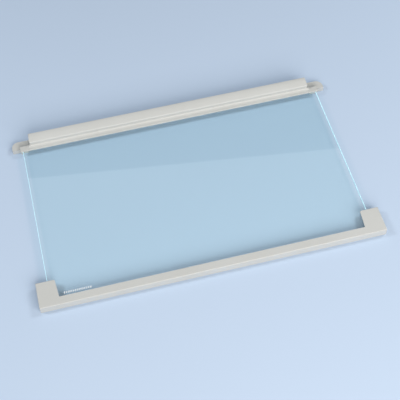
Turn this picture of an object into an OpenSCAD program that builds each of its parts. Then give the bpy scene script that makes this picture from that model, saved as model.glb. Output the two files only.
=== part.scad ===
// Refrigerator shelf: a toughened glass pane held along two edges by moulded trims.
// The front edge faces -Y, the rear trim stands at +Y and the shelf rests on Z = 0.
// Every section below is drawn with the front edge at Y = 0 and moved to the middle at the end.

/* [Shelf] */
// Width over the arms of the front trim
shelf_w = 474; // [380:1:620]
// Depth from the front edge to the back of the rear trim
shelf_d = 283; // [200:1:420]
// Wall of both mouldings
wall = 1.8; // [1.4:0.1:2.2]
// Thickness of the stiffening ribs
rib_t = 1.2; // [0.8:0.1:1.8]
// Distance from one rib to the next
rib_pitch = 30; // [16:1:60]
// Gap between the ribs and the surface that the walls stand on
rib_lift = 0.8; // [0.4:0.1:1.5]

/* [Glass pane] */
// Thickness of the pane
glass_t = 4; // [3:0.5:6]
// Height of the pane's underside above the resting surface
glass_lift = 5.5; // [4.6:0.1:9]
// Distance from the side of the shelf to the side edge of the pane
glass_inset = 15.5; // [12:0.5:18]
// Radius of the pane's corners
glass_corner_r = 4; // [1:0.5:8]
// Width of the ground bevel along the pane's edges
arris = 0.5; // [0.2:0.1:1]
// Clearance between the pane's edges and the mouldings
edge_gap = 0.3; // [0.1:0.05:0.6]
// Clearance between the pane's top face and the mouldings
top_gap = 0.2; // [0.05:0.05:0.4]

/* [Front trim] */
// Depth of the strip over the pane
strip_d = 11.6; // [9:0.1:20]
// Length of the arms from the front edge
arm_len = 38.7; // [30:0.1:60]
// Width of an arm at its free end
arm_end_w = 25.7; // [24:0.1:32]
// Width of an arm where it leaves the strip
arm_root_w = 27.8; // [25:0.1:34]
// Radius of the free inner corner of an arm
arm_corner_r = 2.8; // [1:0.1:6]
// Radius of the outer corners seen from above
side_corner_r = 1.4; // [0.6:0.1:4]
// Rounding of the outer top edges
edge_r = 1.1; // [0.4:0.1:1.6]
// How far the ledge under the pane stays back from the strip's edge
strip_setback = 2; // [1:0.1:4]
// How far the ledge under the pane stays back from the arm's inner side
arm_setback = 4; // [2:0.1:6]
// Ribs across each arm
arm_ribs = 2; // [0:1:4]

/* [Rear trim] */
// Depth of the lip over the pane
lip_d = 7.5; // [6:0.1:12]
// Rounding of the lip's front top edge
lip_edge_r = 0.7; // [0.3:0.1:1.2]
// Depth of the hollow box behind the pane
box_d = 15; // [11:0.5:20]
// Height of the ridge at its back
rear_h = 22; // [19:0.5:40]
// Radius of the crowned top of the ridge
crown_r = 30; // [24:1:80]
// Radius between the crown and the ridge's front wall
brow_r = 3; // [1:0.1:3.5]
// Radius between the ridge's front wall and the lip
lip_fillet_r = 4; // [1.5:0.1:4.2]
// Distance from the side of the shelf to the end of the ridge
ridge_inset = 27.3; // [22:0.1:45]
// Rounding of the ridge's top edge at its ends and along its back
ridge_edge_r = 1.6; // [0.6:0.1:2.4]
// Distance from the side of the shelf to the end of the lip
lip_inset = 12.5; // [10:0.1:14.5]

/* [Lugs] */
// Height of the lugs that run in the cabinet's grooves
lug_h = 7; // [6:0.1:8.5]
// Distance from the side of the shelf to the outer side of a lug
lug_inset = 1; // [0:0.1:4]
// Radius of the rear outer corner of a lug
lug_corner_r = 9.5; // [2:0.1:12]
// Radius between a lug and the end of the ridge
lug_fillet_r = 4; // [1:0.1:4.5]
// Length of the pads under the pane's rear corners
pad_w = 11.5; // [8:0.1:16]
// Reach of the pads under the pane
pad_reach = 3.5; // [2:0.1:5]
// Reach of the ledge between the pads
rear_ledge = 2.2; // [1:0.1:3]

/* [Hidden] */
$fn = 64;

// Overlap of a cutting solid past the face that it opens
past = 1;
// Overlap of a fillet with the walls that it joins
bite = 0.05;

half_w = shelf_w / 2;
pane_x = half_w - glass_inset;
pane_top = glass_lift + glass_t;
trim_h = pane_top + top_gap + wall;
roof_z = trim_h - wall;
ledge_z = glass_lift - wall;
slot_x = pane_x + edge_gap;

box_y = shelf_d - box_d;
back_y = shelf_d;
lip_y = box_y - lip_d;
lip_x = half_w - lip_inset;
lug_x = half_w - lug_inset;
ridge_x = half_w - ridge_inset;
pane_front_y = wall + edge_gap;
pane_back_y = box_y - edge_gap;

trim_colour = [0.82, 0.82, 0.80];
glass_colour = [0.55, 0.80, 0.95, 0.45];

function unit(v) = v / norm(v);

// Area between a corner at p, with sides towards a and b, and the radius r that rounds it.
// It is cut from an outer corner and added to an inner one. The tip reaches past p by bite.
module corner_sliver(p, a, b, r) {
    u = unit(a - p);
    v = unit(b - p);
    half_angle = acos(u * v) / 2;
    middle = unit(u + v);
    centre = p + middle * r / sin(half_angle);
    run = r / tan(half_angle);
    difference() {
        polygon([p - middle * bite, p + u * run, centre, p + v * run]);
        translate(centre) circle(r = r);
    }
}

// Section drawn as (Y, Z) and drawn out along X, centred
module along_x(length) {
    rotate([90, 0, 90]) linear_extrude(length, center = true) children();
}

// Section drawn as (X, Z) and drawn out along Y
module along_y(from, to) {
    translate([0, to, 0]) rotate([90, 0, 0]) linear_extrude(to - from) children();
}

module both_sides() {
    children();
    mirror([1, 0, 0]) children();
}

// Rectangle from (x0, y0) to (x1, y1)
module rect(x0, y0, x1, y1) {
    translate([x0, y0]) square([x1 - x0, y1 - y0]);
}

// Rectangle from (x0, 0) to (x1, top) whose two upper corners are rounded
module rounded_top(x0, x1, top, r) {
    difference() {
        rect(x0, 0, x1, top);
        corner_sliver([x0, top], [x1, top], [x0, 0], r);
        corner_sliver([x1, top], [x0, top], [x1, 0], r);
    }
}

// Glass pane

module pane_outline() {
    depth = pane_back_y - pane_front_y;
    difference() {
        rect(-pane_x, pane_front_y, pane_x, pane_back_y);
        for (x = [-pane_x, pane_x], y = [pane_front_y, pane_back_y])
            corner_sliver([x, y], [-x, y], [x, 2 * pane_front_y + depth - y], glass_corner_r);
    }
}

// Edge of the pane seen along it: a slab whose four long edges are ground off
module ground_edge(from, to) {
    polygon([
        [from, glass_lift + arris], [from + arris, glass_lift],
        [to - arris, glass_lift], [to, glass_lift + arris],
        [to, pane_top - arris], [to - arris, pane_top],
        [from + arris, pane_top], [from, pane_top - arris]
    ]);
}

module glass_pane() {
    color(glass_colour) intersection() {
        translate([0, 0, glass_lift]) linear_extrude(glass_t) pane_outline();
        along_x(shelf_w) ground_edge(pane_front_y, pane_back_y);
        along_y(0, shelf_d) ground_edge(-pane_x, pane_x);
    }
}

// Front trim

// Opening between the arms, widened by side and moved towards the front by down
module notch(side, down) {
    root_x = half_w - arm_root_w + side;
    end_x = half_w - arm_end_w + side;
    lean = (end_x - root_x) / (arm_len - strip_d);
    y0 = strip_d - down;
    y1 = arm_len + past;
    x0 = root_x - lean * down;
    x1 = end_x + lean * past;
    polygon([[-x0, y0], [x0, y0], [x1, y1], [-x1, y1]]);
}

module front_outline() {
    root = [half_w - arm_root_w, strip_d];
    end = [half_w - arm_end_w, arm_len];
    difference() {
        rect(-half_w, 0, half_w, arm_len);
        for (x = [-half_w, half_w], y = [0, arm_len])
            corner_sliver([x, y], [-x, y], [x, arm_len - y], side_corner_r);
        notch(0, 0);
        both_sides() corner_sliver(end, root, [half_w, arm_len], arm_corner_r);
    }
}

// The trim's outer form, with its top edges rounded along the front, back and sides
module front_form() {
    intersection() {
        linear_extrude(trim_h) front_outline();
        along_x(shelf_w) rounded_top(0, arm_len, trim_h, edge_r);
        along_y(0, arm_len) rounded_top(-half_w, half_w, trim_h, edge_r);
    }
}

// Slot that the pane slides into from behind
module front_slot() {
    translate([-slot_x, wall, glass_lift]) cube([2 * slot_x, arm_len, roof_z - glass_lift]);
}

// Hollows that open downwards: under the ledge, and beside the pane up to the roof
module front_hollows() {
    translate([0, 0, -past]) linear_extrude(ledge_z + past) difference() {
        rect(-half_w + wall, wall, half_w - wall, arm_len - wall);
        notch(arm_setback + wall, strip_setback + wall);
    }
    both_sides() translate([slot_x + wall, wall, -past])
        cube([glass_inset - edge_gap - 2 * wall, arm_len - 2 * wall, roof_z + past]);
}

// Ribs across the strip at one pitch, and across each arm at equal steps
module front_ribs() {
    strip_half = half_w - arm_root_w;
    count = floor(strip_half / rib_pitch);
    for (i = [-count : count])
        translate([i * rib_pitch - rib_t / 2, 0, rib_lift]) cube([rib_t, strip_d, roof_z]);
    step = (arm_len - 2 * wall) / (arm_ribs + 1);
    for (i = [1 : 1 : arm_ribs])
        both_sides() translate([half_w - arm_root_w, wall + i * step - rib_t / 2, rib_lift])
            cube([arm_root_w, rib_t, roof_z]);
}

module front_trim() {
    color(trim_colour) difference() {
        front_form();
        front_slot();
        translate([0, 0, -past]) linear_extrude(glass_lift + past) notch(arm_setback, strip_setback);
        difference() {
            front_hollows();
            front_ribs();
        }
    }
}

// Rear trim

// Centre of the crown and of the brow that rounds it into the front wall, as (Y, Z)
crown_c = [back_y, rear_h - crown_r];
brow_c = [
    box_y + brow_r,
    crown_c[1] + sqrt(pow(crown_r - brow_r, 2) - pow(box_d - brow_r, 2))
];

// Section of the ridge: front wall, brow, crown and back
module ridge_section() {
    brow_end = crown_c + unit(brow_c - crown_c) * crown_r;
    difference() {
        intersection() {
            rect(box_y, 0, back_y, rear_h);
            translate(crown_c) circle(r = crown_r, $fn = 180);
        }
        difference() {
            polygon([[box_y, brow_c[1]], brow_c, brow_end, [box_y - past, brow_end[1] + past]]);
            translate(brow_c) circle(r = brow_r);
        }
        corner_sliver([back_y, rear_h], [box_y, rear_h], [back_y, 0], ridge_edge_r);
    }
}

// Plan of the ridge: its front corners are rounded by one wall
module ridge_plan() {
    difference() {
        rect(-ridge_x, box_y, ridge_x, back_y);
        for (x = [-ridge_x, ridge_x])
            corner_sliver([x, box_y], [-x, box_y], [x, back_y], wall);
    }
}

module ridge() {
    intersection() {
        along_x(2 * ridge_x) ridge_section();
        linear_extrude(rear_h) ridge_plan();
        along_y(box_y, back_y) rounded_top(-ridge_x, ridge_x, rear_h, ridge_edge_r);
    }
}

// Fillet that leads the ridge's front wall into the lip and turns round its corners
module lip_fillet() {
    along_x(2 * (ridge_x - wall))
        corner_sliver([box_y, trim_h], [lip_y, trim_h], [box_y, rear_h], lip_fillet_r);
    both_sides() translate([ridge_x - wall, box_y + wall, 0]) rotate([0, 0, -90])
        rotate_extrude(angle = 90)
            corner_sliver([wall, trim_h], [wall + lip_d, trim_h], [wall, rear_h], lip_fillet_r);
}

// Lip over the pane, with the wall that carries it past the ends of the ridge
module lip() {
    along_x(2 * lip_x) difference() {
        rect(lip_y, roof_z, box_y + wall, trim_h);
        corner_sliver([lip_y, trim_h], [box_y, trim_h], [lip_y, roof_z], lip_edge_r);
    }
    along_x(2 * lip_x) rect(box_y, 0, box_y + wall, trim_h);
}

// Plan of the low box that ends in the lugs, drawn inset by one wall for its hollow
module lug_plan(inset) {
    x = lug_x - inset;
    y = back_y - inset;
    difference() {
        rect(-x, box_y + inset, x, y);
        both_sides() corner_sliver([x, y], [-x, y], [x, box_y], lug_corner_r - inset);
    }
}

// Fillet between a lug's top and the end of the ridge
module lug_fillets() {
    both_sides() along_y(box_y + wall, back_y)
        corner_sliver([ridge_x, lug_h], [lug_x, lug_h], [ridge_x, rear_h], lug_fillet_r);
}

// Pads under the pane's rear corners, and the ledge that joins them
module rear_supports() {
    both_sides() translate([lip_x - pad_w, box_y - pad_reach, 0])
        cube([pad_w, pad_reach + bite, glass_lift]);
    along_x(2 * (lip_x - pad_w) + 2 * bite)
        rect(box_y - rear_ledge, ledge_z, box_y + bite, glass_lift);
}

// Hollow of the box and ridge, open downwards
module rear_hollows() {
    translate([0, 0, -past]) linear_extrude(lug_h - wall + past) lug_plan(wall);
    along_x(2 * (ridge_x - wall)) intersection() {
        rect(box_y + wall, -past, back_y - wall, rear_h - wall);
        translate(crown_c) circle(r = crown_r - wall, $fn = 180);
    }
}

// Ribs across the hollow at one pitch, with one under each end of the ridge and in each lug
module rear_ribs() {
    count = floor((ridge_x - rib_pitch / 2) / rib_pitch);
    stations = concat(
        [for (i = [-count : count]) i * rib_pitch],
        [for (side = [-1, 1]) side * (ridge_x - wall / 2)],
        [for (side = [-1, 1]) side * (ridge_x + lug_x) / 2]
    );
    for (x = stations)
        translate([x - rib_t / 2, box_y, rib_lift]) cube([rib_t, box_d, rear_h]);
}

module rear_trim() {
    color(trim_colour) difference() {
        union() {
            ridge();
            linear_extrude(lug_h) lug_plan(0);
            lip();
            lip_fillet();
            lug_fillets();
            rear_supports();
        }
        difference() {
            rear_hollows();
            rear_ribs();
        }
    }
}

translate([0, -shelf_d / 2, 0]) {
    glass_pane();
    front_trim();
    rear_trim();
}
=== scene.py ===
"""Looks of a refrigerator shelf: a clear glass pane between two off-white mouldings.

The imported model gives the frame. This script dresses its three nodes, softens the
sharp edges of the mouldings, prints a row of bars on the pane, and sets a camera,
soft lights and a pale floor round them. Lengths are in metres.
"""

import logging
import math
from dataclasses import dataclass, field
from enum import Enum

import bmesh
import bpy
from mathutils import Matrix, Vector


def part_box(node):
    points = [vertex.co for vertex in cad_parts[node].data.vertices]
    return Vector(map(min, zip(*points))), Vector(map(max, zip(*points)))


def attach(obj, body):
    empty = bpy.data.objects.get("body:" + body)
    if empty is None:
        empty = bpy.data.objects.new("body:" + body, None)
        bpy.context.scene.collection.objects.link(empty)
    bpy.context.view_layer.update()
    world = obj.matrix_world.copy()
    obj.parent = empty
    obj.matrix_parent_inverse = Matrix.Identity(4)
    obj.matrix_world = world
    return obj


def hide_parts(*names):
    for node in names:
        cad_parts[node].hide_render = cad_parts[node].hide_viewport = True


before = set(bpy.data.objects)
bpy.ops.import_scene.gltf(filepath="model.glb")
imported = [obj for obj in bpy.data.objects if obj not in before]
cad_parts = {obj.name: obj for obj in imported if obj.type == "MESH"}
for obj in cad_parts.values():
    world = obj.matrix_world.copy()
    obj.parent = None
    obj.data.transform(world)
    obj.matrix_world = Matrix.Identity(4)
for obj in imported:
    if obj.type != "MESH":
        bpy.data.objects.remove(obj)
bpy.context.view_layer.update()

MM = 0.001
BODY = "root"
EDGE_LAYER = "worn_edge"
MERGE_DISTANCE = 0.002 * MM
SLIVER_LENGTH = 0.001 * MM
FLAT_ANGLE = math.radians(0.1)
GLASS_IOR = 1.52
PLASTIC_IOR = 1.49
SENSOR_WIDTH_MM = 36.0

logging.basicConfig(level=logging.INFO, format="%(name)s: %(message)s")
log = logging.getLogger("shelf")

Colour = tuple[float, float, float]


class Slot(Enum):
    """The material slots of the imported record."""

    GLASS = "glass"
    TRIM = "trim"


class Graph:
    """A node tree with short calls for adding and joining nodes."""

    def __init__(self, tree: bpy.types.NodeTree) -> None:
        """Keeps the tree.

        Args:
            tree: The node tree that the calls add to.
        """
        self.tree = tree

    def add(self, kind: str, **settings: object) -> bpy.types.Node:
        """Adds one node.

        Args:
            kind: Blender's type name of the node.
            settings: Properties of the node to set.

        Returns:
            The new node.
        """
        node = self.tree.nodes.new(kind)
        for name, value in settings.items():
            setattr(node, name, value)
        return node

    def join(self, source: bpy.types.NodeSocket, *targets: bpy.types.NodeSocket) -> None:
        """Links one output to each of the inputs."""
        for target in targets:
            self.tree.links.new(source, target)

    def math(self, operation: str, *values: object) -> bpy.types.NodeSocket:
        """Adds a Math node.

        Args:
            operation: The node's operation.
            values: Its inputs in order, each a number or an output socket.

        Returns:
            The node's result.
        """
        node = self.add("ShaderNodeMath", operation=operation)
        for socket, value in zip(node.inputs, values):
            if isinstance(value, bpy.types.NodeSocket):
                self.join(value, socket)
            else:
                socket.default_value = value
        return node.outputs[0]

    def noise(self, vector: bpy.types.NodeSocket, scale: object, detail: float) -> bpy.types.NodeSocket:
        """Adds a noise pattern.

        Args:
            vector: The coordinates that it reads.
            scale: Its scale, a number or an output socket.
            detail: How many finer layers it adds.

        Returns:
            The pattern's value, from 0 to 1.
        """
        node = self.add("ShaderNodeTexNoise")
        node.inputs["Detail"].default_value = detail
        self.join(vector, node.inputs["Vector"])
        if isinstance(scale, bpy.types.NodeSocket):
            self.join(scale, node.inputs["Scale"])
        else:
            node.inputs["Scale"].default_value = scale
        return node.outputs["Fac"]

    def ramp(self, value: bpy.types.NodeSocket, low: float, high: float,
             to_low: float, to_high: float) -> bpy.types.NodeSocket:
        """Maps a value from one range to another and clamps it.

        Args:
            value: The value to map.
            low: The value that gives to_low.
            high: The value that gives to_high.
            to_low: The result at low.
            to_high: The result at high.

        Returns:
            The mapped value.
        """
        node = self.add("ShaderNodeMapRange", clamp=True)
        self.join(value, node.inputs["Value"])
        for name, number in zip(("From Min", "From Max", "To Min", "To Max"), (low, high, to_low, to_high)):
            node.inputs[name].default_value = number
        return node.outputs["Result"]

    def blend_colours(self, share: bpy.types.NodeSocket, first: object,
                      second: object) -> bpy.types.NodeSocket:
        """Mixes two colours.

        Args:
            share: How much of the second colour shows, from 0 to 1.
            first: A colour or an output socket.
            second: A colour or an output socket.

        Returns:
            The mixed colour.
        """
        node = self.add("ShaderNodeMix", data_type="RGBA")
        self.join(share, node.inputs["Factor"])
        for socket, value in ((node.inputs[6], first), (node.inputs[7], second)):
            if isinstance(value, bpy.types.NodeSocket):
                self.join(value, socket)
            else:
                socket.default_value = (*value, 1.0)
        return node.outputs[2]


def new_group(name: str, kind: str, inputs: dict[str, tuple[str, object]],
              outputs: dict[str, str]) -> tuple[Graph, bpy.types.Node, bpy.types.Node]:
    """Starts a node group with named inputs and outputs.

    Args:
        name: The group's name.
        kind: The tree type of the group.
        inputs: Socket type and default value of each input, by name.
        outputs: Socket type of each output, by name.

    Returns:
        The group's graph, its input node and its output node.
    """
    tree = bpy.data.node_groups.new(name, kind)
    for label, (socket_type, default) in inputs.items():
        socket = tree.interface.new_socket(label, in_out="INPUT", socket_type=socket_type)
        if default is not None:
            socket.default_value = default
    for label, socket_type in outputs.items():
        tree.interface.new_socket(label, in_out="OUTPUT", socket_type=socket_type)
    graph = Graph(tree)
    return graph, graph.add("NodeGroupInput"), graph.add("NodeGroupOutput")


def moulded_grain_group() -> bpy.types.NodeTree:
    """Makes the fine matt grain that a spark-eroded mould leaves on plastic.

    Returns:
        The group, with the outputs Height and Speckle.
    """
    inputs = {
        "Vector": ("NodeSocketVector", None),
        "Grain Scale": ("NodeSocketFloat", 1800.0),
        "Flow Scale": ("NodeSocketFloat", 14.0),
    }
    outputs = {"Height": "NodeSocketFloat", "Speckle": "NodeSocketFloat"}
    g, source, result = new_group("moulded_grain", "ShaderNodeTree", inputs, outputs)
    fine = g.noise(source.outputs["Vector"], source.outputs["Grain Scale"], 2.0)
    flow = g.noise(source.outputs["Vector"], source.outputs["Flow Scale"], 3.0)
    height = g.math("ADD", g.math("MULTIPLY", fine, 0.8), g.math("MULTIPLY", flow, 0.2))
    g.join(height, result.inputs["Height"])
    g.join(g.math("MULTIPLY", flow, g.ramp(fine, 0.35, 0.65, 0.8, 1.0)), result.inputs["Speckle"])
    return g.tree


def handling_group() -> bpy.types.NodeTree:
    """Makes the wear that handling leaves: rubbed edges and faint scuffs along the length.

    Returns:
        The group, with the outputs Edge and Scuff.
    """
    inputs = {
        "Vector": ("NodeSocketVector", None),
        "Edge Mark": ("NodeSocketFloat", 0.0),
        "Patch Scale": ("NodeSocketFloat", 60.0),
        "Scuff Scale": ("NodeSocketFloat", 90.0),
    }
    outputs = {"Edge": "NodeSocketFloat", "Scuff": "NodeSocketFloat"}
    g, source, result = new_group("handling_wear", "ShaderNodeTree", inputs, outputs)
    patches = g.noise(source.outputs["Vector"], source.outputs["Patch Scale"], 4.0)
    rubbed = g.math("MULTIPLY", source.outputs["Edge Mark"], g.ramp(patches, 0.35, 0.7, 0.35, 1.0))
    g.join(rubbed, result.inputs["Edge"])
    stretch = g.add("ShaderNodeMapping", vector_type="POINT")
    stretch.inputs["Scale"].default_value = (0.12, 2.2, 2.2)
    stretch.inputs["Rotation"].default_value = (0.0, 0.0, math.radians(7))
    g.join(source.outputs["Vector"], stretch.inputs["Vector"])
    streaks = g.noise(stretch.outputs["Vector"], source.outputs["Scuff Scale"], 5.0)
    g.join(g.ramp(streaks, 0.6, 0.78, 0.0, 1.0), result.inputs["Scuff"])
    return g.tree


class SurfaceEffects:
    """The shader groups that the finishes share, each built once."""

    def __init__(self) -> None:
        """Builds the groups."""
        self.grain = moulded_grain_group()
        self.handling = handling_group()

    def place(self, graph: Graph, group: bpy.types.NodeTree, **values: float) -> bpy.types.Node:
        """Puts a group into a material.

        Args:
            graph: The material's graph.
            group: The group to place.
            values: Values of its inputs, with underscores for the spaces in their names.

        Returns:
            The group node.
        """
        node = graph.add("ShaderNodeGroup", node_tree=group)
        for name, value in values.items():
            node.inputs[name.replace("_", " ").title()].default_value = value
        return node


def new_material(name: str) -> tuple[bpy.types.Material, Graph, bpy.types.Node, bpy.types.Node]:
    """Starts a material that holds one Principled shader and an output.

    Args:
        name: The material's name.

    Returns:
        The material, its graph, its shader and its output node.
    """
    material = bpy.data.materials.new(name)
    material.use_nodes = True
    material.node_tree.nodes.clear()
    graph = Graph(material.node_tree)
    shader = graph.add("ShaderNodeBsdfPrincipled")
    output = graph.add("ShaderNodeOutputMaterial")
    graph.join(shader.outputs["BSDF"], output.inputs["Surface"])
    return material, graph, shader, output


@dataclass(frozen=True)
class MouldedPlastic:
    """Satin injection-moulded plastic with a fine grain and lightly rubbed edges."""

    name: str
    colour: Colour
    shade: Colour
    rubbed: Colour
    roughness: float = 0.37
    grain_scale: float = 1800.0
    grain_depth: float = 0.04 * MM
    edge_wear: float = 0.6
    edge_polish: float = 0.12
    scuff_dulling: float = 0.08

    def build(self, effects: SurfaceEffects) -> bpy.types.Material:
        """Makes the material.

        Args:
            effects: The shared shader groups.

        Returns:
            The material.
        """
        material, g, shader, _ = new_material(self.name)
        place = g.add("ShaderNodeTexCoord").outputs["Object"]
        edge = g.add("ShaderNodeAttribute", attribute_name=EDGE_LAYER).outputs["Fac"]
        grain = effects.place(g, effects.grain, grain_scale=self.grain_scale, flow_scale=14.0)
        wear = effects.place(g, effects.handling, patch_scale=60.0, scuff_scale=90.0)
        g.join(place, grain.inputs["Vector"], wear.inputs["Vector"])
        g.join(edge, wear.inputs["Edge Mark"])
        body = g.blend_colours(g.ramp(grain.outputs["Speckle"], 0.3, 0.7, 0.0, 1.0), self.shade, self.colour)
        worn = g.math("MULTIPLY", wear.outputs["Edge"], self.edge_wear)
        g.join(g.blend_colours(worn, body, self.rubbed), shader.inputs["Base Color"])
        satin = g.ramp(grain.outputs["Height"], 0.3, 0.7, self.roughness - 0.05, self.roughness + 0.05)
        polished = g.math("SUBTRACT", satin, g.math("MULTIPLY", wear.outputs["Edge"], self.edge_polish))
        scuffed = g.math("ADD", polished, g.math("MULTIPLY", wear.outputs["Scuff"], self.scuff_dulling))
        g.join(scuffed, shader.inputs["Roughness"])
        bump = g.add("ShaderNodeBump")
        bump.inputs["Strength"].default_value = 0.5
        bump.inputs["Distance"].default_value = self.grain_depth
        g.join(grain.outputs["Height"], bump.inputs["Height"])
        g.join(bump.outputs["Normal"], shader.inputs["Normal"])
        shader.inputs["IOR"].default_value = PLASTIC_IOR
        return material


@dataclass(frozen=True)
class ToughenedGlass:
    """Clear toughened glass, nearly flat, that lets lamps through to what lies under it."""

    name: str
    tint: Colour
    shadow_tint: Colour
    wave_depth: float = 0.00001

    def build(self, effects: SurfaceEffects) -> bpy.types.Material:
        """Makes the material.

        Args:
            effects: The shared shader groups.

        Returns:
            The material.
        """
        material, g, shader, output = new_material(self.name)
        place = g.add("ShaderNodeTexCoord").outputs["Object"]
        wear = effects.place(g, effects.handling, patch_scale=9.0, scuff_scale=30.0)
        g.join(place, wear.inputs["Vector"])
        shader.inputs["Transmission Weight"].default_value = 1.0
        shader.inputs["IOR"].default_value = GLASS_IOR
        g.join(g.ramp(wear.outputs["Scuff"], 0.0, 1.0, 0.0, 0.035), shader.inputs["Roughness"])
        haze = g.noise(place, 9.0, 2.0)
        paler = tuple(min(1.0, value + 0.012) for value in self.tint)
        g.join(g.blend_colours(haze, self.tint, paler), shader.inputs["Base Color"])
        bump = g.add("ShaderNodeBump")
        bump.inputs["Strength"].default_value = 0.3
        bump.inputs["Distance"].default_value = self.wave_depth
        g.join(g.noise(place, 22.0, 1.0), bump.inputs["Height"])
        g.join(bump.outputs["Normal"], shader.inputs["Normal"])
        let_lamps_through(g, shader, output, self.shadow_tint)
        return material


@dataclass(frozen=True)
class GroundEdge:
    """The pane's ground rim: frosted and tinted, with a painted glow of emission that stands in for light
    the pane carries to its edge.
    """

    name: str
    tint: Colour
    deep_tint: Colour
    clearness: float = 0.15
    roughness: float = 0.34
    # Painted glow: the emission colour and strength that brighten the rim although it is no lamp.
    painted_glow: Colour = (0.26, 0.82, 1.00)
    painted_glow_strength: float = 0.36
    shadow_tint: Colour = (0.62, 0.76, 0.80)

    def build(self, effects: SurfaceEffects) -> bpy.types.Material:
        """Makes the material.

        Args:
            effects: The shared shader groups.

        Returns:
            The material.
        """
        material, g, shader, output = new_material(self.name)
        place = g.add("ShaderNodeTexCoord").outputs["Object"]
        grain = effects.place(g, effects.grain, grain_scale=3200.0, flow_scale=40.0)
        g.join(place, grain.inputs["Vector"])
        shader.inputs["Transmission Weight"].default_value = self.clearness
        shader.inputs["IOR"].default_value = GLASS_IOR
        # Emission paints a glow on the rim in place of light piped through the pane.
        shader.inputs["Emission Color"].default_value = (*self.painted_glow, 1.0)
        shader.inputs["Emission Strength"].default_value = self.painted_glow_strength
        tinted = g.blend_colours(grain.outputs["Speckle"], self.deep_tint, self.tint)
        g.join(tinted, shader.inputs["Base Color"])
        ground = g.ramp(grain.outputs["Height"], 0.3, 0.7, self.roughness - 0.08, self.roughness + 0.08)
        g.join(ground, shader.inputs["Roughness"])
        bump = g.add("ShaderNodeBump")
        bump.inputs["Strength"].default_value = 0.6
        bump.inputs["Distance"].default_value = 0.00003
        g.join(grain.outputs["Height"], bump.inputs["Height"])
        g.join(bump.outputs["Normal"], shader.inputs["Normal"])
        let_lamps_through(g, shader, output, self.shadow_tint)
        return material


def let_lamps_through(graph: Graph, shader: bpy.types.Node, output: bpy.types.Node, tint: Colour) -> None:
    """Lets light from the lamps pass a glass shader in a straight line, as a thin pane does.

    Args:
        graph: The material's graph.
        shader: The glass shader.
        output: The material's output.
        tint: The colour that the light keeps.
    """
    path = graph.add("ShaderNodeLightPath").outputs
    ray = graph.math("MAXIMUM", path["Is Shadow Ray"], path["Is Diffuse Ray"])
    clear = graph.add("ShaderNodeBsdfTransparent")
    clear.inputs["Color"].default_value = (*tint, 1.0)
    mix = graph.add("ShaderNodeMixShader")
    graph.join(ray, mix.inputs[0])
    graph.join(shader.outputs["BSDF"], mix.inputs[1])
    graph.join(clear.outputs["BSDF"], mix.inputs[2])
    graph.join(mix.outputs["Shader"], output.inputs["Surface"])


@dataclass(frozen=True)
class FiredInk:
    """White ceramic ink fired onto the glass, slightly uneven where it is thin."""

    name: str
    colour: Colour
    thin_colour: Colour

    def build(self, effects: SurfaceEffects) -> bpy.types.Material:
        """Makes the material.

        Args:
            effects: The shared shader groups.

        Returns:
            The material.
        """
        material, g, shader, _ = new_material(self.name)
        place = g.add("ShaderNodeTexCoord").outputs["Object"]
        grain = effects.place(g, effects.grain, grain_scale=2600.0, flow_scale=300.0)
        g.join(place, grain.inputs["Vector"])
        share = g.ramp(grain.outputs["Speckle"], 0.3, 0.6, 0.0, 1.0)
        g.join(g.blend_colours(share, self.thin_colour, self.colour), shader.inputs["Base Color"])
        g.join(g.ramp(grain.outputs["Height"], 0.3, 0.7, 0.35, 0.55), shader.inputs["Roughness"])
        return material


@dataclass(frozen=True)
class PaleFloor:
    """A smooth pale surface to stand on."""

    name: str
    colour: Colour
    roughness: float = 0.6

    def build(self, effects: SurfaceEffects) -> bpy.types.Material:
        """Makes the material.

        Args:
            effects: The shared shader groups; not used here.

        Returns:
            The material.
        """
        material, g, shader, _ = new_material(self.name)
        place = g.add("ShaderNodeTexCoord").outputs["Object"]
        cloud = g.noise(place, 3.0, 2.0)
        deeper = tuple(value * 0.985 for value in self.colour)
        g.join(g.blend_colours(cloud, deeper, self.colour), shader.inputs["Base Color"])
        shader.inputs["Roughness"].default_value = self.roughness
        shader.inputs["Specular IOR Level"].default_value = 0.0
        return material


@dataclass(frozen=True)
class Finishes:
    """The colours and surfaces of the shelf and of its surroundings."""

    trim: MouldedPlastic = MouldedPlastic(
        "trim_plastic", colour=(0.532, 0.544, 0.529), shade=(0.506, 0.516, 0.497), rubbed=(0.68, 0.68, 0.66)
    )
    glass: ToughenedGlass = ToughenedGlass(
        "pane_glass", tint=(0.955, 0.985, 0.985), shadow_tint=(0.88, 0.95, 0.96)
    )
    rim: GroundEdge = GroundEdge("ground_rim", tint=(0.86, 0.99, 1.00), deep_tint=(0.74, 0.96, 1.00))
    ink: FiredInk = FiredInk("fired_ink", colour=(0.94, 0.95, 0.95), thin_colour=(0.84, 0.86, 0.87))
    floor: PaleFloor = PaleFloor("pale_floor", colour=(0.50, 0.61, 0.76))


def mesh_object(name: str, mesh: bpy.types.Mesh) -> bpy.types.Object:
    """Puts a mesh into the scene as an object at the origin."""
    made = bpy.data.objects.new(name, mesh)
    bpy.context.scene.collection.objects.link(made)
    return made


def merged_copy(node: str) -> bmesh.types.BMesh:
    """Copies a node's mesh, joins its loose triangles and merges the flat ones.

    Args:
        node: The node's name.

    Returns:
        The mesh, for more work.
    """
    work = bmesh.new()
    work.from_mesh(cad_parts[node].data)
    bmesh.ops.remove_doubles(work, verts=work.verts, dist=MERGE_DISTANCE)
    bmesh.ops.dissolve_degenerate(work, edges=work.edges, dist=SLIVER_LENGTH)
    bmesh.ops.dissolve_limit(
        work, angle_limit=FLAT_ANGLE, verts=work.verts, edges=work.edges, use_dissolve_boundaries=False
    )
    return work


def stand_in(piece: bpy.types.Object, node: str) -> None:
    """Makes a piece ride with the shelf in the place of a node.

    Args:
        piece: The finished piece.
        node: The node that it replaces.
    """
    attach(piece, BODY)
    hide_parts(node)
    log.info("%s: %d faces in the place of %s", piece.name, len(piece.data.polygons), node)


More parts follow.
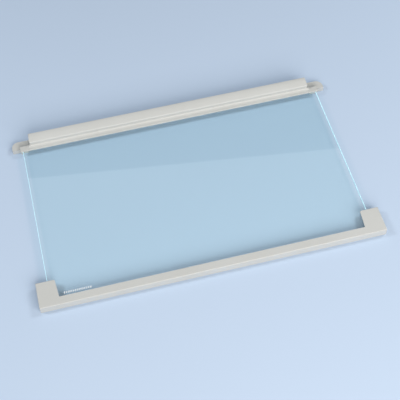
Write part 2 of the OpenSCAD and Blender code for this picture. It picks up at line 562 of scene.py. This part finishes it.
def run_nodes(name: str, tree: bpy.types.NodeTree, values: dict[str, object]) -> bpy.types.Object:
    """Runs a geometry tree and keeps its result as a plain mesh.

    Args:
        name: The name of the new piece.
        tree: The geometry tree.
        values: Values of the tree's inputs by name.

    Returns:
        The piece, with no modifier on it.
    """
    carrier = mesh_object(name + "_carrier", bpy.data.meshes.new(name + "_carrier"))
    modifier = carrier.modifiers.new(name, "NODES")
    modifier.node_group = tree
    for item in tree.interface.items_tree:
        if item.item_type == "SOCKET" and item.in_out == "INPUT" and item.name in values:
            modifier[item.identifier] = values[item.name]
    graph = bpy.context.evaluated_depsgraph_get()
    mesh = bpy.data.meshes.new_from_object(carrier.evaluated_get(graph))
    carrier.modifiers.remove(modifier)
    bpy.data.objects.remove(carrier)
    mesh.name = name
    return mesh_object(name, mesh)


def bar_row_tree() -> bpy.types.NodeTree:
    """Builds the geometry tree of a printed row of slanting bars along X.

    Returns:
        The tree, with the inputs Count, Pitch, Start, Bar Size, Slant, Seed and Finish.
    """
    inputs = {
        "Count": ("NodeSocketInt", 12),
        "Pitch": ("NodeSocketFloat", 0.003),
        "Start": ("NodeSocketVector", None),
        "Bar Size": ("NodeSocketVector", None),
        "Slant": ("NodeSocketFloat", 0.3),
        "Seed": ("NodeSocketInt", 4),
        "Finish": ("NodeSocketMaterial", None),
    }
    g, source, result = new_group("bar_row", "GeometryNodeTree", inputs, {"Geometry": "NodeSocketGeometry"})
    step = g.add("ShaderNodeCombineXYZ")
    g.join(source.outputs["Pitch"], step.inputs["X"])
    line = g.add("GeometryNodeMeshLine", mode="OFFSET")
    g.join(source.outputs["Count"], line.inputs["Count"])
    g.join(source.outputs["Start"], line.inputs["Start Location"])
    g.join(step.outputs["Vector"], line.inputs["Offset"])
    bar = g.add("GeometryNodeMeshCube")
    g.join(source.outputs["Bar Size"], bar.inputs["Size"])
    turn = g.add("ShaderNodeCombineXYZ")
    g.join(source.outputs["Slant"], turn.inputs["Z"])
    leaning = g.add("GeometryNodeTransform")
    g.join(bar.outputs["Mesh"], leaning.inputs["Geometry"])
    g.join(turn.outputs["Vector"], leaning.inputs["Rotation"])
    ink_spread = g.add("FunctionNodeRandomValue", data_type="FLOAT_VECTOR")
    ink_spread.inputs["Min"].default_value = (0.94, 0.97, 1.0)
    ink_spread.inputs["Max"].default_value = (1.06, 1.03, 1.0)
    g.join(source.outputs["Seed"], ink_spread.inputs["Seed"])
    spread_and_finish(
        g, source, result, line.outputs["Mesh"], leaning.outputs["Geometry"], ink_spread.outputs["Value"]
    )
    return g.tree


def spread_and_finish(g: Graph, source: bpy.types.Node, result: bpy.types.Node, points: bpy.types.NodeSocket,
                      shape: bpy.types.NodeSocket, scale: bpy.types.NodeSocket | None = None) -> None:
    """Ends a geometry tree: puts a shape on each point, realizes it and sets its material.

    Args:
        g: The tree's graph.
        source: The tree's input node, which has the input Finish.
        result: The tree's output node.
        points: The points that carry the shape.
        shape: The shape to repeat.
        scale: A size for each copy, if they differ.
    """
    spread = g.add("GeometryNodeInstanceOnPoints")
    g.join(points, spread.inputs["Points"])
    g.join(shape, spread.inputs["Instance"])
    if scale is not None:
        g.join(scale, spread.inputs["Scale"])
    real = g.add("GeometryNodeRealizeInstances")
    g.join(spread.outputs["Instances"], real.inputs["Geometry"])
    dress = g.add("GeometryNodeSetMaterial")
    g.join(real.outputs["Geometry"], dress.inputs["Geometry"])
    g.join(source.outputs["Finish"], dress.inputs["Material"])
    g.join(dress.outputs["Geometry"], result.inputs["Geometry"])


@dataclass
class GlassPane:
    """The pane, with clear faces and a ground rim."""

    glass: bpy.types.Material
    rim: bpy.types.Material
    node: str = "glass_pane"
    flat_limit: float = 0.95

    def build(self) -> bpy.types.Object:
        """Builds the pane with its two finishes.

        Returns:
            The pane.
        """
        work = merged_copy(self.node)
        for face in work.faces:
            face.material_index = 0 if abs(face.normal.z) > self.flat_limit else 1
        mesh = bpy.data.meshes.new("toughened_pane")
        work.to_mesh(mesh)
        work.free()
        mesh.materials.append(self.glass)
        mesh.materials.append(self.rim)
        pane = mesh_object("toughened_pane", mesh)
        stand_in(pane, self.node)
        return pane


@dataclass
class PrintedMark:
    """A plain row of slanting bars printed on the pane, behind the front strip."""

    ink: bpy.types.Material
    count: int = 13
    pitch: float = 2.9 * MM
    bar_size: tuple[float, float, float] = (1.15 * MM, 2.9 * MM, 0.03 * MM)
    slant: float = math.radians(-18)
    from_strip: float = 5.2 * MM
    from_arm: float = 7.5 * MM
    strip_depth: float = 11.6 * MM
    arm_root_width: float = 27.8 * MM
    seed: int = 4

    def build(self) -> bpy.types.Object:
        """Builds the mark.

        Returns:
            The mark, lying on the pane.
        """
        trim_low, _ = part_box("front_trim")
        _, pane_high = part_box("glass_pane")
        start = Vector((
            trim_low.x + self.arm_root_width + self.from_arm,
            trim_low.y + self.strip_depth + self.from_strip,
            pane_high.z + self.bar_size[2],
        ))
        values = {
            "Count": self.count, "Pitch": self.pitch, "Start": start, "Bar Size": self.bar_size,
            "Slant": self.slant, "Seed": self.seed, "Finish": self.ink,
        }
        mark = run_nodes("printed_bars", bar_row_tree(), values)
        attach(mark, BODY)
        log.info("printed_bars: %d bars", self.count)
        return mark


@dataclass
class Moulding:
    """A moulded trim: the node's own form with its sharp edges broken."""

    node: str
    piece_name: str
    plastic: bpy.types.Material
    edge_break: float = 0.22 * MM
    sharp_angle: float = math.radians(38)
    segments: int = 2
    profile: float = 0.5

    def build(self) -> bpy.types.Object:
        """Builds the moulding.

        Returns:
            The moulding, in the place of its node.
        """
        work = merged_copy(self.node)
        mark = work.faces.layers.float.new(EDGE_LAYER)
        edges = [
            edge for edge in work.edges
            if len(edge.link_faces) == 2 and edge.is_convex and edge.calc_face_angle(0.0) > self.sharp_angle
        ]
        made = bmesh.ops.bevel(
            work, geom=edges, offset=self.edge_break, offset_type="OFFSET", segments=self.segments,
            profile=self.profile, affect="EDGES", clamp_overlap=True
        )
        for face in made["faces"]:
            face[mark] = 1.0
        bmesh.ops.recalc_face_normals(work, faces=work.faces)
        for face in work.faces:
            face.smooth = True
        mesh = bpy.data.meshes.new(self.piece_name)
        work.to_mesh(mesh)
        work.free()
        mesh.materials.append(self.plastic)
        mesh.set_sharp_from_angle(angle=self.sharp_angle)
        piece = mesh_object(self.piece_name, mesh)
        piece.modifiers.new("even_shading", "WEIGHTED_NORMAL").keep_sharp = True
        stand_in(piece, self.node)
        return piece


@dataclass
class PhotoCamera:
    """The camera, at the photograph's viewing angle."""

    aim: Vector = field(default_factory=lambda: Vector((6.2, -21.5, 0.0)) * MM)
    azimuth: float = -12.6
    elevation: float = 55.17
    roll: float = -1.93
    distance: float = 1.3263
    lens: float = 85.36

    def build(self) -> bpy.types.Object:
        """Places the camera and makes it the scene's.

        Returns:
            The camera.
        """
        around, above = math.radians(self.azimuth), math.radians(self.elevation)
        level = math.cos(above)
        back = Vector((math.sin(around) * level, -math.cos(around) * level, math.sin(above)))
        right = Vector((math.cos(around), math.sin(around), 0.0))
        turn = Matrix((right, back.cross(right), back)).transposed().to_4x4()
        data = bpy.data.cameras.new("photo_camera")
        data.lens = self.lens
        data.sensor_width = SENSOR_WIDTH_MM
        data.dof.use_dof = False
        camera = bpy.data.objects.new("photo_camera", data)
        roll = Matrix.Rotation(math.radians(self.roll), 4, "Z")
        camera.matrix_world = Matrix.Translation(self.aim + back * self.distance) @ turn @ roll
        bpy.context.scene.collection.objects.link(camera)
        bpy.context.scene.camera = camera
        return camera


@dataclass(frozen=True)
class Softbox:
    """One rectangular lamp that points at the shelf."""

    name: str
    place: tuple[float, float, float]
    size: tuple[float, float]
    power: float
    colour: Colour = (1.0, 1.0, 1.0)
    target: tuple[float, float, float] = (0.0, 0.0, 0.0)
    spin: float = 0.0
    only_reflected: bool = False

    def build(self) -> bpy.types.Object:
        """Places the lamp.

        Returns:
            The lamp.
        """
        data = bpy.data.lights.new(self.name, "AREA")
        data.shape = "RECTANGLE"
        data.size, data.size_y = self.size
        data.energy = self.power
        data.color = self.colour
        lamp = bpy.data.objects.new(self.name, data)
        lamp.location = self.place
        facing = (Vector(self.target) - Vector(self.place)).to_track_quat("-Z", "Y").to_matrix()
        lamp.rotation_euler = (facing @ Matrix.Rotation(math.radians(self.spin), 3, "Z")).to_euler()
        lamp.visible_diffuse = not self.only_reflected
        bpy.context.scene.collection.objects.link(lamp)
        return lamp


@dataclass
class Studio:
    """The pale floor and the soft lights round the shelf."""

    floor_finish: bpy.types.Material
    floor_size: float = 12.0
    sky_colour: Colour = (0.90, 0.95, 1.0)
    sky_strength: float = 0.30
    lamps: tuple[Softbox, ...] = (
        Softbox("left_softbox", (-1.15, 0.30, 1.15), (0.36, 0.36), 7.5),
        Softbox("right_softbox", (1.15, 0.30, 1.15), (0.36, 0.36), 6.8),
        Softbox("front_softbox", (0.30, -1.50, 0.90), (1.80, 1.00), 33.3, colour=(1.00, 0.94, 0.89)),
        Softbox("ceiling_glow", (0.078, 0.483, 1.20), (1.70, 0.90), 2.8,
                target=(0.078, 0.483, 0.0), spin=-8.0, only_reflected=True),
    )

    def build(self) -> None:
        """Builds the floor, the lamps and the even light from all round."""
        work = bmesh.new()
        bmesh.ops.create_grid(work, x_segments=1, y_segments=1, size=self.floor_size / 2)
        mesh = bpy.data.meshes.new("floor")
        work.to_mesh(mesh)
        work.free()
        mesh.materials.append(self.floor_finish)
        floor = mesh_object("floor", mesh)
        for lamp in self.lamps:
            lamp.build()
        world = bpy.data.worlds.new("even_light")
        world.use_nodes = True
        shade = world.node_tree.nodes["Background"]
        shade.inputs["Color"].default_value = (*self.sky_colour, 1.0)
        shade.inputs["Strength"].default_value = self.sky_strength
        bpy.context.scene.world = world
        bpy.context.scene.view_settings.view_transform = "Standard"
        log.info("studio: %d lamps", len(self.lamps))


def main() -> None:
    """Builds the pane, the mouldings, the marks, the camera and the studio in order."""
    effects = SurfaceEffects()
    finishes = Finishes()
    plastic = finishes.trim.build(effects)
    GlassPane(finishes.glass.build(effects), finishes.rim.build(effects)).build()
    PrintedMark(finishes.ink.build(effects)).build()
    Moulding("front_trim", "front_moulding", plastic).build()
    Moulding("rear_trim", "rear_moulding", plastic).build()
    PhotoCamera().build()
    Studio(finishes.floor.build(effects)).build()


if __name__ == "__main__":
    main()
